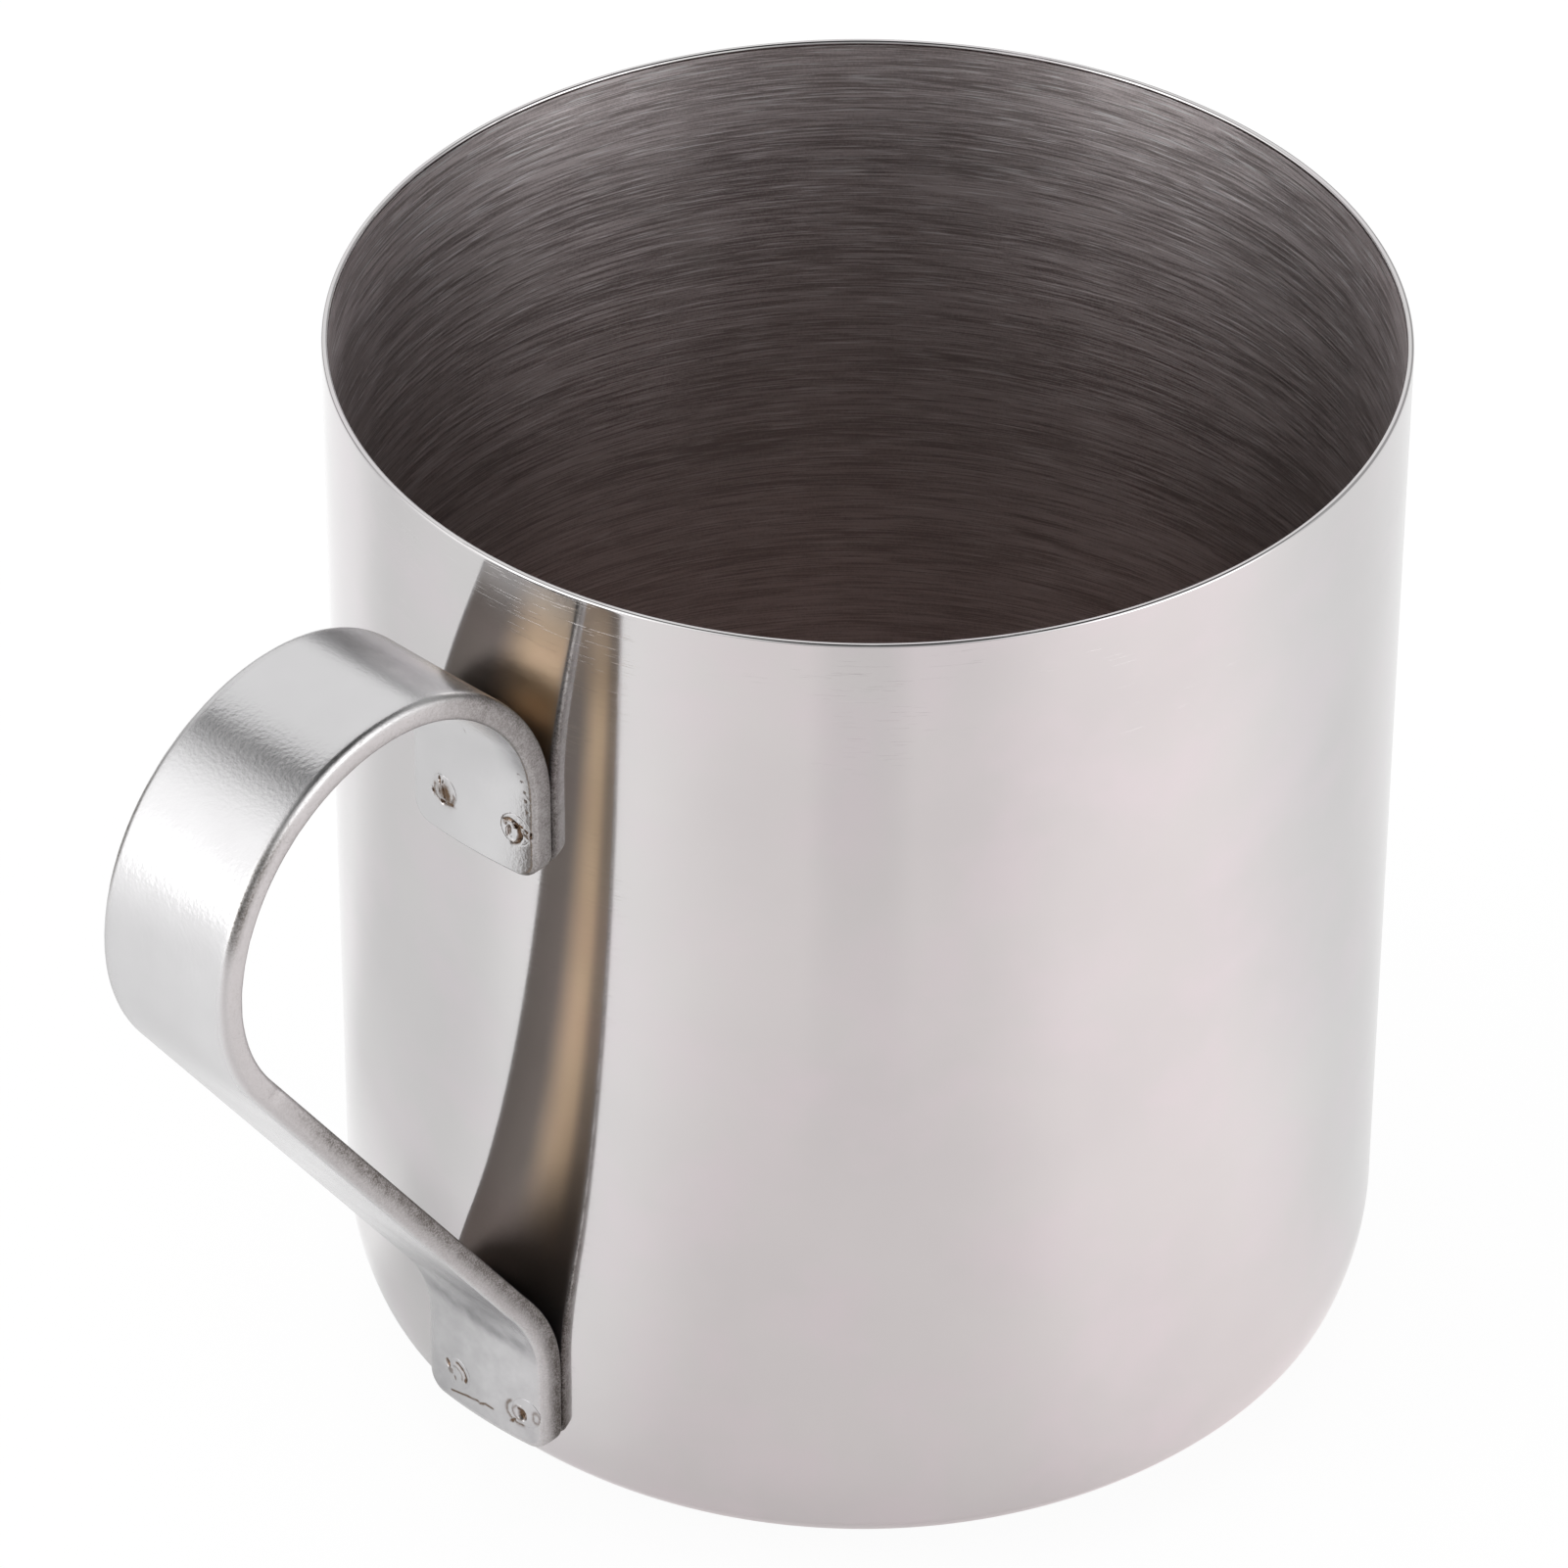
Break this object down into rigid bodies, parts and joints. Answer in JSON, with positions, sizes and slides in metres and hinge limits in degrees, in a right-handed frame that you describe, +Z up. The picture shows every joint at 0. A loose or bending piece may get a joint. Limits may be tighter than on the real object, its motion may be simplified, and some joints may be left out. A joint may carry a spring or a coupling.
{
  "type": "milk frothing pitcher",
  "caption": "Straight-walled steel frothing pitcher with a rounded base corner, an open mouth and a bent strap handle spot welded to its wall.",
  "frame": {"origin": "centre of the cup's base on the standing plane", "axes": "+Z up along the cup's axis, the handle points towards -X, so +X is the side away from the handle and +Y is on the left of someone who faces the handle"},
  "size_m": [0.1124, 0.08, 0.088],
  "materials": {
    "cup_steel": "fine brushed satin stainless steel, brushed round the cup",
    "strap_steel": "tumbled satin stainless steel with eased edges",
    "weld_steel": "spot weld face, slightly heat tinted"
  },
  "bodies": {
    "root": {"cup_shell": "cup_steel", "handle_strap": "strap_steel", "upper_left_spot_weld": "weld_steel", "upper_right_spot_weld": "weld_steel", "lower_left_spot_weld": "weld_steel", "lower_right_spot_weld": "weld_steel"}
  },
  "joints": []
}
